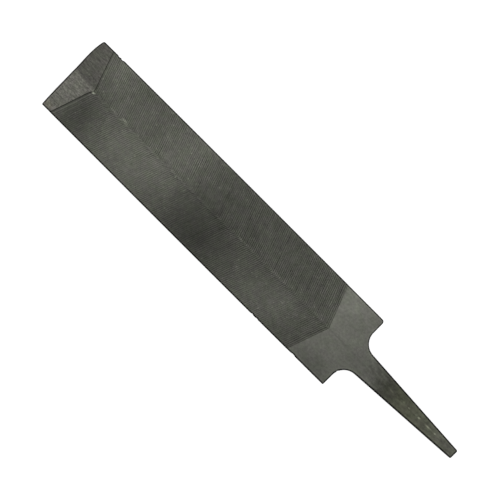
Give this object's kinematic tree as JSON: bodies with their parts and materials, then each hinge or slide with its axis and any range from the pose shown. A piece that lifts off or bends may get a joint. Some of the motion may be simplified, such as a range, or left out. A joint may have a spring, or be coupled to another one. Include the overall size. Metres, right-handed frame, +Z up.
{
  "type": "flat file",
  "caption": "Blunt hand file of rhombic section, single-cut on its four broad facets, with plain tip and heel and a tapered tang for a handle.",
  "frame": {"origin": "under the middle of the whole length, at the height of the lower ridge; the blade's centre line and both ridges lie on Y = 0 but for the tang's small offset", "axes": "+X along the length from the blade's tip to the end of the tang, +Y across the blade to its left side, +Z up out of the upper faces"},
  "size_m": [0.204, 0.0336, 0.005],
  "materials": {
    "file_steel": "dark, dull hardened steel, cut faces slightly darker than the ground tip and heel",
    "cut_steel": "dark grey single-cut teeth with brighter crests"
  },
  "bodies": {
    "root": {"file_blade_and_tang": "file_steel"}
  },
  "joints": []
}
